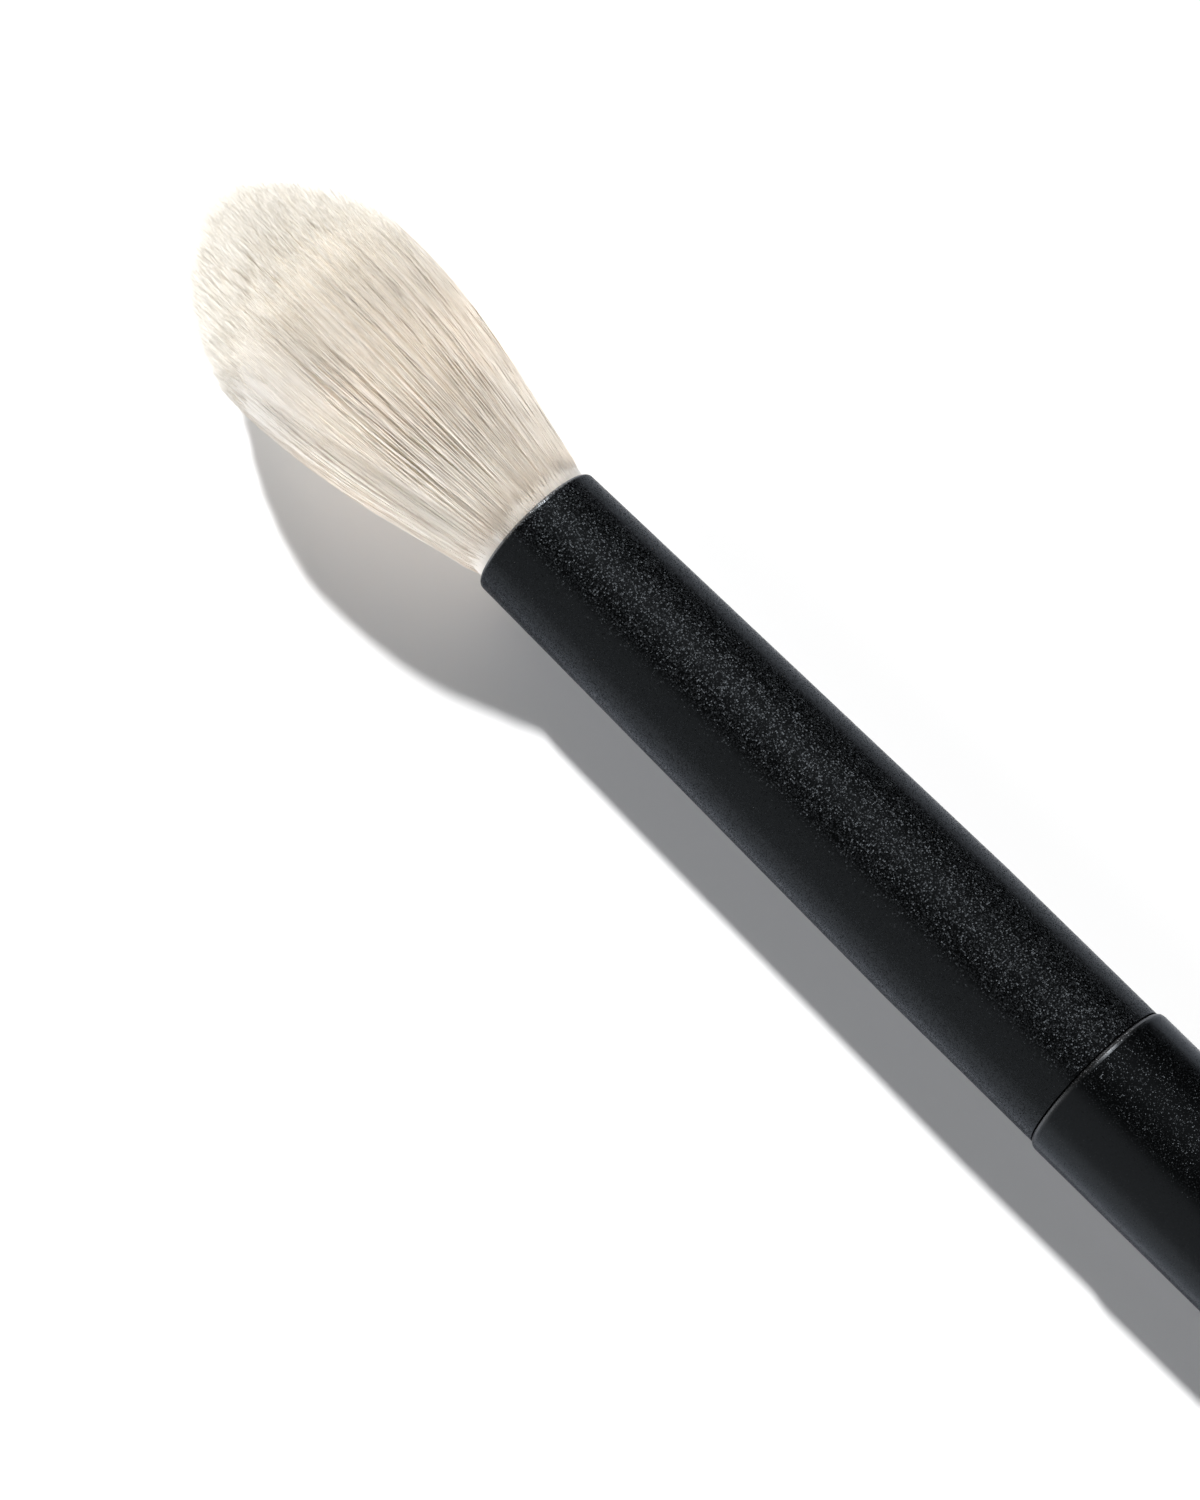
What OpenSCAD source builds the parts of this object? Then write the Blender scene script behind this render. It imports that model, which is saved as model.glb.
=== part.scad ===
// Fluffy eyeshadow brush, lying on a flat surface with its tail to -X and its hair to +X.
// Millimetres. The surface is z = 0, and the origin is under the middle of the brush's length.

/* [Handle] */
// Length of the handle from its tail to the seam
handle_l = 105; // [80:1:140]
// How far the grip stands proud of the ferrule at the seam
seam_step = 0.17; // [0:0.01:0.6]
// Length of the straight grip behind the seam
grip_l = 42; // [20:1:60]
// Diameter at the end of the taper
tail_d = 5.8; // [4.4:0.1:8]
// Radius round the tail's end
tail_round = 1.2; // [0.4:0.1:2]
// Radius of the shoulder at the seam
shoulder_round = 0.4; // [0.1:0.05:0.5]
// Length of the tenon inside the ferrule
tenon_l = 9.5; // [6:0.5:16]
// Length of the chamfer on the tenon's end
tenon_chamfer = 0.8; // [0.2:0.1:1.5]
// Thickness of the glue film round the tenon
glue_t = 0.1; // [0.05:0.01:0.25]

/* [Ferrule] */
// Length of the ferrule from the seam to its mouth
ferrule_l = 38; // [34:1:60]
// Outer diameter of the sleeve at the seam
ferrule_d = 8.46; // [7.8:0.02:11]
// Outer diameter at the mouth
mouth_d = 7.5; // [6:0.1:7.8]
// Length of the sleeve in front of the seam, before the cone
sleeve_l = 10; // [4:0.5:20]
// Thickness of the tube's wall
wall = 0.35; // [0.2:0.05:0.5]
// Thickness of the rolled edge at the mouth
rim_t = 0.5; // [0.5:0.05:0.8]
// How far the rolled edge runs back inside the mouth
lip_l = 0.7; // [0.5:0.1:1.5]

/* [Tuft] */
// Length of the hair in front of the mouth
tuft_l = 21.6; // [16:0.2:30]
// Diameter of the tuft at its fullest
belly_d = 11.7; // [9.5:0.1:14]
// Distance of the fullest place from the mouth
belly_at = 14; // [10:0.5:15]
// How far the hair swells over the rim of the mouth
rim_swell = 0.2; // [0:0.05:0.4]
// How far the belly lifts off the surface as it is pressed on it
tuft_lift = 0.6; // [0:0.1:1]
// How far the tip leans to one side
tip_lean = 0.4; // [0:0.1:1]
// How uneven the ends of the strands are
tip_scatter = 0.6; // [0:0.1:1]
// Rings of strands, which hold 6 times the square of their number
strand_rings = 8; // [8:1:9]

/* [Roots] */
// Length of the bound roots, from their end to the foot of the loose hair
roots_l = 12.2; // [10:0.2:16]
// Gap between the roots and the rolled edge of the mouth
roots_gap = 0.05; // [0.02:0.01:0.1]
// Thickness of the slice of root that the loose strands stand on
slice_t = 1; // [0.5:0.1:2]
// Diameter of the binding thread
thread_d = 0.3; // [0.2:0.05:0.35]
// Turns of the binding thread
thread_turns = 4; // [2:1:5]
// Distance from the mouth to the middle of the binding
thread_at = 6.5; // [5:0.5:7]
// How deep the resin holds the ends of the roots
resin_grip = 3; // [2:0.2:3.6]
// Thickness of the resin behind the roots
resin_t = 1.5; // [0.5:0.1:3]

/* [Hidden] */
$fn = 96;

total_l = handle_l + ferrule_l + tuft_l;
seam_x = handle_l - total_l / 2;
mouth_x = seam_x + ferrule_l;

ferrule_r = ferrule_d / 2;
mouth_r = mouth_d / 2;
grip_r = ferrule_r + seam_step;
tail_r = tail_d / 2;
bore_r = ferrule_r - wall;
tenon_r = bore_r - glue_t;
rim_r = rim_t / 2;
lip_r = mouth_r - rim_t;
axis_z = grip_r;

// The taper starts level with the grip and steepens towards the tail
taper_power = 1.6;
taper_steps = 4;
arc_step = 22.5;

black = [0.07, 0.07, 0.08];
cream = [0.91, 0.86, 0.78];

// Inner radius of the ferrule at a distance s in front of the seam
cone_l = ferrule_l - rim_r - sleeve_l;
function ferrule_inner(s) = bore_r - (ferrule_r - mouth_r) * max(s - sleeve_l, 0) / cone_l;

// Points of an arc about [x, y], from one angle to another
function arc(x, y, r, from, to) =
    let (steps = ceil(abs(to - from) / arc_step))
    [for (i = [0:steps]) let (a = from + (to - from) * i / steps) [x + r * cos(a), y + r * sin(a)]];

// Turns a profile of [radius, distance from the seam] about the brush's axis
module turned(profile) {
    translate([seam_x, 0, axis_z]) rotate([0, 90, 0]) rotate_extrude() polygon(profile);
}

// Handle: one turned piece, with its tenon in front of the seam
taper_l = handle_l - grip_l - tail_round;
module handle() {
    taper = [
        for (i = [taper_steps - 1:-1:1])
        let (u = i / taper_steps)
        [grip_r + (tail_r - grip_r) * pow(u, taper_power), -grip_l - u * taper_l]
    ];
    color(black) turned(concat(
        [[0, -handle_l]],
        arc(tail_r - tail_round, tail_round - handle_l, tail_round, -90, 0),
        taper,
        [[grip_r, -grip_l]],
        arc(grip_r - shoulder_round, -shoulder_round, shoulder_round, 0, 90),
        [
            [tenon_r, 0],
            [tenon_r, tenon_l - tenon_chamfer],
            [tenon_r - tenon_chamfer, tenon_l],
            [0, tenon_l]
        ]
    ));
}

// Ferrule: a drawn tube whose mouth is rolled inwards to a full round
lip_slope = rim_t - wall;
module ferrule() {
    lip_end = ferrule_l - lip_l - lip_slope;
    color(black) turned(concat(
        [[bore_r, 0], [ferrule_r, 0], [ferrule_r, sleeve_l]],
        arc(mouth_r - rim_r, ferrule_l - rim_r, rim_r, 0, 180),
        [
            [lip_r, ferrule_l - lip_l],
            [ferrule_inner(lip_end), lip_end],
            [bore_r, sleeve_l]
        ]
    ));
}

// Glue: the film between the tenon and the bore
module tenon_glue() {
    glue_l = tenon_l - tenon_chamfer;
    color([0.86, 0.8, 0.6]) turned([[tenon_r, 0], [bore_r, 0], [bore_r, glue_l], [tenon_r, glue_l]]);
}

// Roots: the packed ends of the hair, with a waist where the thread is wound
roots_r = lip_r - roots_gap;
foot_s = -rim_r;
slice_s = foot_s - slice_t;
roots_s = foot_s - roots_l;
thread_r = thread_d / 2;
waist_depth = thread_d * 0.8;
waist_r = roots_r - waist_depth;
thread_pitch = thread_d * 1.15;
waist_l = thread_pitch * thread_turns + 2 * thread_d;
module hair_roots() {
    waist_top = ferrule_l - thread_at + waist_l / 2;
    color(cream) turned([
        [0, ferrule_l + roots_s],
        [roots_r, ferrule_l + roots_s],
        [roots_r, waist_top - waist_l - waist_depth],
        [waist_r, waist_top - waist_l],
        [waist_r, waist_top],
        [roots_r, waist_top + waist_depth],
        [roots_r, ferrule_l + slice_s],
        [0, ferrule_l + slice_s]
    ]);
}

// Resin: a cup set round the ends of the roots, against the ferrule's wall
module resin_plug() {
    ends = ferrule_l + roots_s;
    bottom = ends - resin_t;
    top = ends + resin_grip;
    color([0.8, 0.62, 0.34]) turned([
        [0, bottom],
        [ferrule_inner(bottom), bottom],
        [ferrule_inner(top), top],
        [roots_r, top],
        [roots_r, ends],
        [0, ends]
    ]);
}

// Thread: a tube swept along a helix round the waist, which its chords just clear
thread_sides = 5;
turn_steps = 16;
module binding_thread() {
    count = thread_turns * turn_steps;
    r = (waist_r + thread_r + roots_gap / 2) / cos(180 / turn_steps);
    start = mouth_x - thread_at - thread_pitch * thread_turns / 2;
    rise = atan(thread_pitch / (2 * PI * r));
    points = [
        for (i = [0:count], j = [0:thread_sides - 1])
        let (
            a = 360 * i / turn_steps,
            b = 360 * j / thread_sides,
            out = r + thread_r * cos(b),
            along = thread_r * sin(b)
        )
        [
            start + thread_pitch * i / turn_steps + along * cos(rise),
            out * cos(a) + along * sin(rise) * sin(a),
            axis_z + out * sin(a) - along * sin(rise) * cos(a)
        ]
    ];
    last = count * thread_sides;
    sides = [
        for (i = [0:count - 1], j = [0:thread_sides - 1])
        let (a = i * thread_sides + j, b = i * thread_sides + (j + 1) % thread_sides)
        each [[a, a + thread_sides, b], [b, a + thread_sides, b + thread_sides]]
    ];
    caps = [for (j = [1:thread_sides - 2]) each [[0, j, j + 1], [last, last + j + 1, last + j]]];
    color([0.93, 0.92, 0.88]) polyhedron(points, concat(sides, caps));
}

// Tuft: the outline's radius at a distance s in front of the mouth. It swells like a quarter
// sine to the belly and closes in a dome.
belly_r = belly_d / 2;
neck_r = lip_r + rim_swell;
swell_power = 1.1;
dome_power = 0.77;
dome_l = tuft_l - belly_at;
close_share = 0.1;
function swell(s) = neck_r + (belly_r - neck_r) * sin(90 * pow(s / belly_at, swell_power));

// Radius that the outermost strands keep to at s, and the rise and side lean of their middle
function dome_u(s) = max(s - belly_at, 0) / dome_l;
function flow_r(s) = s < 0 ? roots_r : s < belly_at ? swell(s) : belly_r * (1 - close_share * pow(dome_u(s), 2));
function lift(s) = tuft_lift * (1 - cos(180 * min(max(s, 0) / belly_at, 1))) / 2;
function lean(s) = -tip_lean * pow(dome_u(s), 2);

// Presses a point [y, z] of a round section of radius r flat, so that it stays above a floor
// that lies the given depth below the section's middle
function pressed(y, z, r, depth) =
    let (half = sqrt(max(pow(r, 2) - pow(y, 2), 0)))
    z < 0 && half > depth ? max(z * depth / half, -depth) : z;

// Puts a point of the unit disc into the tuft's section at s
function placed(p, s) =
    let (r = flow_r(s), depth = axis_z + lift(s), y = r * p.x)
    [mouth_x + s, y + lean(s), depth + pressed(y, r * p.y, r, depth)];

// The unit disc is cut into triangular cells on rings of knots. Each strand stands on one cell.
function knot(ring, j) = ring == 0 ? 0 : 1 + 3 * ring * (ring - 1) + j % (6 * ring);
knot_count = 1 + 3 * strand_rings * (strand_rings + 1);
knot_shake_share = 0.22;
shake = rands(-1, 1, 2 * knot_count, 11);
knots = [
    for (ring = [0:strand_rings], j = [0:max(6 * ring - 1, 0)])
    let (
        i = knot(ring, j),
        a = 360 * j / max(6 * ring, 1),
        play = ring < strand_rings ? knot_shake_share / strand_rings : 0
    )
    [
        ring / strand_rings * cos(a) + play * shake[2 * i],
        ring / strand_rings * sin(a) + play * shake[2 * i + 1]
    ]
];
cells = [
    for (ring = [1:strand_rings], side = [0:5])
    each [
        for (j = [0:ring - 1])
        [knot(ring, side * ring + j), knot(ring, side * ring + j + 1), knot(ring - 1, side * (ring - 1) + j)],
        for (j = [0:1:ring - 2])
        [
            knot(ring - 1, side * (ring - 1) + j),
            knot(ring, side * ring + j + 1),
            knot(ring - 1, side * (ring - 1) + j + 1)
        ]
    ]
];

// A strand has three rings above its foot, drawn in from its cell by these shares, and a tip
// on the dome. The outer strands bend over the rim, and the inner ones reach into the crown.
ring_shares = [0.86, 0.84, 0.8];
crown_share = 0.62;
outer_share = 0.75;
neck_s = 2 * rim_t;
mid_s = belly_at * 0.46;
full_s = belly_at * 0.93;
crown_s = belly_at + dome_l * 0.37;
tip_shake = rands(0, 1, len(cells), 5);
function middle(cell) = (knots[cell[0]] + knots[cell[1]] + knots[cell[2]]) / 3;
function tip_s(rho, i) =
    belly_at + dome_l * sqrt(max(1 - pow(rho, 1 / dome_power), 0)) - tip_scatter * tip_shake[i];
function strand(cell, i) =
    let (
        m = middle(cell),
        rho = norm(m),
        outer = rho > outer_share,
        stations = outer ? [neck_s, mid_s, full_s] : [mid_s, full_s, crown_s],
        shares = outer ? ring_shares : [ring_shares[1], ring_shares[2], crown_share]
    )
    concat(
        [for (k = [0:2], c = cell) placed(m + (knots[c] - m) * shares[k], stations[k])],
        [placed(m, max(tip_s(rho, i), stations[2] + tip_scatter))]
    );

// Two triangles of a strand's or the slice's side: a and b are neighbours on the lower ring,
// c and d the ones above them
function side_faces(a, b, c, d) = [[a, c, b], [b, c, d]];

// The slice and all its strands are one closed surface, whose foot points the cells share
module hair_tuft() {
    edge_count = 6 * strand_rings;
    edge = knot(strand_rings, 0);
    below = knot_count;
    centre = below + edge_count;
    first = centre + 1;
    strand_points = 10;
    feet = [for (p = knots) placed(p, foot_s)];
    slice = [for (j = [0:edge_count - 1]) placed(knots[edge + j], slice_s)];
    strands = [for (i = [0:len(cells) - 1]) each strand(cells[i], i)];
    wall_faces = [
        for (j = [0:edge_count - 1])
        let (next = (j + 1) % edge_count)
        each concat(
            side_faces(below + j, below + next, edge + j, edge + next),
            [[centre, below + j, below + next]]
        )
    ];
    strand_faces = [
        for (i = [0:len(cells) - 1])
        let (o = first + strand_points * i, cell = cells[i])
        each [
            for (k = [0:2])
            let (next = (k + 1) % 3)
            each concat(
                side_faces(cell[k], cell[next], o + k, o + next),
                side_faces(o + k, o + next, o + 3 + k, o + 3 + next),
                side_faces(o + 3 + k, o + 3 + next, o + 6 + k, o + 6 + next),
                [[o + 6 + k, o + 9, o + 6 + next]]
            )
        ]
    ];
    color(cream) polyhedron(
        concat(feet, slice, [placed([0, 0], slice_s)], strands),
        concat(wall_faces, strand_faces)
    );
}

handle();
ferrule();
tenon_glue();
resin_plug();
hair_roots();
binding_thread();
hair_tuft();
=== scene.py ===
import math

import bpy
import numpy as np
from mathutils import Matrix, Vector


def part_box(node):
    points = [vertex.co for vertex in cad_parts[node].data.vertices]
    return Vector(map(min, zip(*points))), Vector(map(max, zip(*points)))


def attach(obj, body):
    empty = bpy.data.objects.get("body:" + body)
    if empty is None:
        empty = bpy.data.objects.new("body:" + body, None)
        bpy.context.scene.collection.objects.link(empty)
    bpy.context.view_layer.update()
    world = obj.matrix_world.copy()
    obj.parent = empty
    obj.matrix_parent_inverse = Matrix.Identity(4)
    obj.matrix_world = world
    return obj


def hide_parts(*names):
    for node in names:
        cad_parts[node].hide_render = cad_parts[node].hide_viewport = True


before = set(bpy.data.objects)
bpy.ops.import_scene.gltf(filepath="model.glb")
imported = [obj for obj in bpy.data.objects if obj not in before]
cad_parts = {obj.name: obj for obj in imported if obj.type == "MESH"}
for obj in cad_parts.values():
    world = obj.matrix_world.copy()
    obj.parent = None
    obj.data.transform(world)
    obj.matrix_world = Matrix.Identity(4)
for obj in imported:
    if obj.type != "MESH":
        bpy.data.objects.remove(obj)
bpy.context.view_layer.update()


# Camera: a long lens that looks steeply down on the front half of the brush. The brush lies along X,
# its hair at +X, and its grip touches the floor, so that its axis is one grip's radius above it. It
# runs from the upper left of the picture to the lower right corner.
MM = 0.001
grip_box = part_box("handle")
axis_z = (grip_box[1].y - grip_box[0].y) / 2
LOOKED_AT = Vector((50.81 * MM, 5.35 * MM, axis_z))
TILT_TO_TAIL = math.radians(11.576)
ROLL = math.radians(44.509)
CAMERA_FAR = 545.5 * MM
SENSOR_W, FOCAL_L = 36, 273.66
SEES_FROM, SEES_TO = 50 * MM, 20

back = Vector((-math.sin(TILT_TO_TAIL), 0, math.cos(TILT_TO_TAIL)))
along = Vector((math.cos(TILT_TO_TAIL), 0, math.sin(TILT_TO_TAIL)))
across = back.cross(along)
right = -math.cos(ROLL) * along - math.sin(ROLL) * across
up = back.cross(right)
camera = bpy.data.objects.new("camera", bpy.data.cameras.new("camera"))
bpy.context.scene.collection.objects.link(camera)
turned = Matrix((right, up, back)).transposed().to_4x4()
camera.matrix_world = Matrix.Translation(LOOKED_AT + CAMERA_FAR * back) @ turned
camera.data.sensor_width, camera.data.lens = SENSOR_W, FOCAL_L
camera.data.clip_start, camera.data.clip_end = SEES_FROM, SEES_TO
bpy.context.scene.camera = camera
bpy.context.scene.view_settings.view_transform = "Standard"


# Light: one small, hard lamp on the brush's right, which throws the long shadow, a mirror beside it
# that only the gloss shows, and a wide soft sky and a low lamp that fill the shadow from the left. The
# sky stays dark overhead, so that the black parts stay deep.
LAMP_FROM, LAMP_STRENGTH = Vector((0.709, -0.350, 0.612)), 5.6
MIRROR_FROM, MIRROR_STRENGTH = Vector((0.662, -0.509, 0.55)), 5.2
LAMP_ANGLE = math.radians(3)
LOW_FROM, LOW_STRENGTH = Vector((-0.1, 0.97, 0.10)), 3.1
LOW_ANGLE = math.radians(35)
LOW_COLOUR = (0.95, 0.985, 1.05)
FILL_STRENGTH, DARK_SKY = 0.70, 0.03
FILL_STARTS, FILL_IS_FULL = 0.3, 0.54
BOUNCES, DIFFUSE_BOUNCES = 32, 24


def wire(tree, *pairs):
    """Joins sockets of a node tree, two and two."""
    for a, b in pairs:
        tree.links.new(a, b)


def add(tree, kind, values=None, **settings):
    """Adds a node, sets its properties, and sets its input sockets by name or number."""
    node = tree.nodes.new(kind)
    for name, value in settings.items():
        setattr(node, name, value)
    for name, value in (values or {}).items():
        node.inputs[name].default_value = value
    return node


def lamp(name, comes_from, strength, angle, colour=(1, 1, 1)):
    """A far lamp that looks angle wide, and shines from one direction."""
    light = bpy.data.lights.new(name, "SUN")
    light.energy, light.angle, light.color = strength, angle, colour
    lamp_object = bpy.data.objects.new(name, light)
    lamp_object.matrix_world = comes_from.to_track_quat("Z", "Y").to_matrix().to_4x4()
    bpy.context.scene.collection.objects.link(lamp_object)
    return lamp_object


lamp("key_lamp", LAMP_FROM, LAMP_STRENGTH, LAMP_ANGLE).visible_glossy = False
lamp("mirror", MIRROR_FROM, MIRROR_STRENGTH, LAMP_ANGLE).visible_diffuse = False
lamp("low_lamp", LOW_FROM, LOW_STRENGTH, LOW_ANGLE, LOW_COLOUR).visible_glossy = False
bpy.context.scene.cycles.max_bounces = BOUNCES
bpy.context.scene.cycles.diffuse_bounces = DIFFUSE_BOUNCES

world = bpy.data.worlds.new("studio")
world.use_nodes = True
bpy.context.scene.world = world
sky = world.node_tree
sky.nodes.clear()
direction = add(sky, "ShaderNodeTexCoord")
parts = add(sky, "ShaderNodeSeparateXYZ")
fill = add(sky, "ShaderNodeMapRange", {
    "From Min": FILL_STARTS, "From Max": FILL_IS_FULL, "To Min": DARK_SKY, "To Max": FILL_STRENGTH,
}, interpolation_type="SMOOTHSTEP")
path = add(sky, "ShaderNodeLightPath")
seen = add(sky, "ShaderNodeMix", data_type="FLOAT")
seen.inputs["B"].default_value = 1.0
shine = add(sky, "ShaderNodeBackground")
world_out = add(sky, "ShaderNodeOutputWorld")
wire(sky,
     (direction.outputs["Generated"], parts.inputs[0]),
     (parts.outputs["Y"], fill.inputs["Value"]),
     (fill.outputs[0], seen.inputs["A"]),
     (path.outputs["Is Camera Ray"], seen.inputs["Factor"]),
     (seen.outputs[0], shine.inputs["Strength"]),
     (shine.outputs[0], world_out.inputs["Surface"]))


# Floor: a sheet of matt white card, far larger than the view, that the brush lies on and throws its
# shadow on.
FLOOR_SIDE = 6.0
CARD_WHITE = (0.88, 0.88, 0.88, 1)


def sheet(name, corners, card_name, colour):
    """A flat, four-cornered piece of matt card."""
    mesh = bpy.data.meshes.new(name)
    mesh.from_pydata(corners, [], [(0, 1, 2, 3)])
    piece = bpy.data.objects.new(name, mesh)
    bpy.context.scene.collection.objects.link(piece)
    card = bpy.data.materials.new(card_name)
    card.use_nodes = True
    tree = card.node_tree
    tree.nodes.clear()
    matt = add(tree, "ShaderNodeBsdfDiffuse", {"Color": colour})
    card_out = add(tree, "ShaderNodeOutputMaterial")
    wire(tree, (matt.outputs[0], card_out.inputs["Surface"]))
    mesh.materials.append(card)
    return piece


floor_half = FLOOR_SIDE / 2
floor = sheet("floor", [
    (-floor_half, -floor_half, 0), (floor_half, -floor_half, 0),
    (floor_half, floor_half, 0), (-floor_half, floor_half, 0),
], "white_card", CARD_WHITE)


# Flag: a black card on the lamp's side, just outside the view, that the black parts mirror instead of
# the bright floor. Neither the camera nor the floor's light meets it.
FLAG_Y, FLAG_FOOT, FLAG_TOP, FLAG_L = -15 * MM, 1 * MM, 30 * MM, 400 * MM
FLAG_BLACK = (0.01, 0.01, 0.01, 1)

flag_half = FLAG_L / 2
flag = sheet("flag", [
    (-flag_half, FLAG_Y, FLAG_FOOT), (flag_half, FLAG_Y, FLAG_FOOT),
    (flag_half, FLAG_Y, FLAG_TOP), (-flag_half, FLAG_Y, FLAG_TOP),
], "black_card", FLAG_BLACK)
flag.visible_camera = flag.visible_diffuse = flag.visible_shadow = flag.visible_transmission = False


# Hair roots: the bound ends of the goat hair, combed straight and packed into a tight round bundle
# that fills the mouth. The hairs' own lengths run along the brush.
COLOUR_A, COLOUR_B, MIXED_COLOUR = 6, 7, 2      # a Mix node's sockets for colours, by number
GRAIN_DETAIL, GRAIN_RELIEF = 3.0, 0.03 * MM

grain = bpy.data.node_groups.new("grain", "ShaderNodeTree")
for name, kind, start in (
    ("Dark", "NodeSocketColor", (0.5, 0.5, 0.5, 1)), ("Light", "NodeSocketColor", (1, 1, 1, 1)),
    ("Grain per mm", "NodeSocketFloat", 5.0), ("Stretch", "NodeSocketVector", (1, 1, 1)),
    ("Depth", "NodeSocketFloat", 0.5),
):
    grain.interface.new_socket(name, in_out="INPUT", socket_type=kind).default_value = start
grain.interface.new_socket("Colour", in_out="OUTPUT", socket_type="NodeSocketColor")
grain.interface.new_socket("Normal", in_out="OUTPUT", socket_type="NodeSocketVector")
group_in = add(grain, "NodeGroupInput")
group_out = add(grain, "NodeGroupOutput")
place = add(grain, "ShaderNodeTexCoord")
stretched = add(grain, "ShaderNodeVectorMath", operation="MULTIPLY")
per_metre = add(grain, "ShaderNodeMath", {1: 1 / MM}, operation="MULTIPLY")
cloud = add(grain, "ShaderNodeTexNoise", {"Detail": GRAIN_DETAIL})
tones = add(grain, "ShaderNodeMix", data_type="RGBA")
relief = add(grain, "ShaderNodeBump", {"Distance": GRAIN_RELIEF})
wire(grain,
     (place.outputs["Object"], stretched.inputs[0]),
     (group_in.outputs["Stretch"], stretched.inputs[1]),
     (group_in.outputs["Grain per mm"], per_metre.inputs[0]),
     (stretched.outputs[0], cloud.inputs["Vector"]),
     (per_metre.outputs[0], cloud.inputs["Scale"]),
     (cloud.outputs["Fac"], tones.inputs[0]),
     (group_in.outputs["Dark"], tones.inputs[COLOUR_A]),
     (group_in.outputs["Light"], tones.inputs[COLOUR_B]),
     (cloud.outputs["Fac"], relief.inputs["Height"]),
     (group_in.outputs["Depth"], relief.inputs["Strength"]),
     (tones.outputs[MIXED_COLOUR], group_out.inputs["Colour"]),
     (relief.outputs[0], group_out.inputs["Normal"]))


def placed(tree, group, values):
    """Places a node group in a material and sets inputs of it, whose names may have _ for a space."""
    named = {name.replace("_", " "): value for name, value in values.items()}
    return add(tree, "ShaderNodeGroup", named, node_tree=group)


def grained(name, roughness, **values):
    """A material of two tones, whose grain is as fine, as stretched and as deep as the values say."""
    material = bpy.data.materials.new(name)
    material.use_nodes = True
    tree = material.node_tree
    surface = tree.nodes["Principled BSDF"]
    surface.inputs["Roughness"].default_value = roughness
    inner = placed(tree, grain, values)
    wire(tree,
         (inner.outputs["Colour"], surface.inputs["Base Color"]),
         (inner.outputs["Normal"], surface.inputs["Normal"]))
    return material


def dress(node, material):
    """Gives a CAD node's object one material."""
    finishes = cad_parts[node].data.materials
    finishes.clear()
    finishes.append(material)


dress("hair_roots", grained(
    "root_hair", roughness=0.6, Dark=(0.58, 0.47, 0.35, 1), Light=(0.90, 0.82, 0.70, 1),
    Grain_per_mm=14.0, Stretch=(0.04, 1, 1), Depth=0.8))


# Binding thread: four turns of waxed cotton, drawn tight into the bundle's waist and tied off. Its
# fibres run round the brush.
dress("binding_thread", grained(
    "waxed_cotton", roughness=0.5, Dark=(0.66, 0.62, 0.54, 1), Light=(0.94, 0.92, 0.86, 1),
    Grain_per_mm=6.0, Stretch=(3, 1, 1), Depth=0.6))


# Ferrule: one drawn aluminium tube, whose mouth is rolled inwards. It is sprayed matt black, with fine
# metal flakes in the paint that lie at all tilts and break the lamp's highlight into sparkle.
BLACK = (0.0235, 0.0258, 0.028, 1)
GRAZING_SHARE = (0.7, 0.72, 0.76, 1)
PAINT_ROUGHNESS, FLAKE_ROUGHNESS = 0.27, 0.54
FLAKES_PER_MM = 12.0

glitter = bpy.data.node_groups.new("glitter", "ShaderNodeTree")
for name, start in (("Flakes per mm", FLAKES_PER_MM), ("Flake Size", 0.4), ("Tilt", 0.35),
                    ("Paint Roughness", PAINT_ROUGHNESS), ("Flake Roughness", FLAKE_ROUGHNESS)):
    glitter.interface.new_socket(name, in_out="INPUT", socket_type="NodeSocketFloat").default_value = start
glitter.interface.new_socket("Roughness", in_out="OUTPUT", socket_type="NodeSocketFloat")
glitter.interface.new_socket("Normal", in_out="OUTPUT", socket_type="NodeSocketVector")
group_in = add(glitter, "NodeGroupInput")
group_out = add(glitter, "NodeGroupOutput")
place = add(glitter, "ShaderNodeTexCoord")
level = add(glitter, "ShaderNodeNewGeometry")
per_metre = add(glitter, "ShaderNodeMath", {1: 1 / MM}, operation="MULTIPLY")
cells = add(glitter, "ShaderNodeTexVoronoi")
flake = add(glitter, "ShaderNodeMath", operation="LESS_THAN")
tilt = add(glitter, "ShaderNodeMath", operation="MULTIPLY")
# A cell's colour, from 0 to 1 in each channel, becomes a lean from -1 to 1
lean = add(glitter, "ShaderNodeVectorMath", {1: (2, 2, 2), 2: (-1, -1, -1)}, operation="MULTIPLY_ADD")
leaned = add(glitter, "ShaderNodeVectorMath", operation="SCALE")
facing = add(glitter, "ShaderNodeVectorMath", operation="ADD")
unit = add(glitter, "ShaderNodeVectorMath", operation="NORMALIZE")
rough = add(glitter, "ShaderNodeMapRange")
wire(glitter,
     (group_in.outputs["Flakes per mm"], per_metre.inputs[0]),
     (place.outputs["Object"], cells.inputs["Vector"]),
     (per_metre.outputs[0], cells.inputs["Scale"]),
     (cells.outputs["Distance"], flake.inputs[0]),
     (group_in.outputs["Flake Size"], flake.inputs[1]),
     (flake.outputs[0], tilt.inputs[0]),
     (group_in.outputs["Tilt"], tilt.inputs[1]),
     (cells.outputs["Color"], lean.inputs[0]),
     (lean.outputs[0], leaned.inputs[0]),
     (tilt.outputs[0], leaned.inputs["Scale"]),
     (leaned.outputs[0], facing.inputs[0]),
     (level.outputs["Normal"], facing.inputs[1]),
     (facing.outputs[0], unit.inputs[0]),
     (unit.outputs[0], group_out.inputs["Normal"]),
     (flake.outputs[0], rough.inputs["Value"]),
     (group_in.outputs["Paint Roughness"], rough.inputs["To Min"]),
     (group_in.outputs["Flake Roughness"], rough.inputs["To Max"]),
     (rough.outputs[0], group_out.inputs["Roughness"]))


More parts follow.
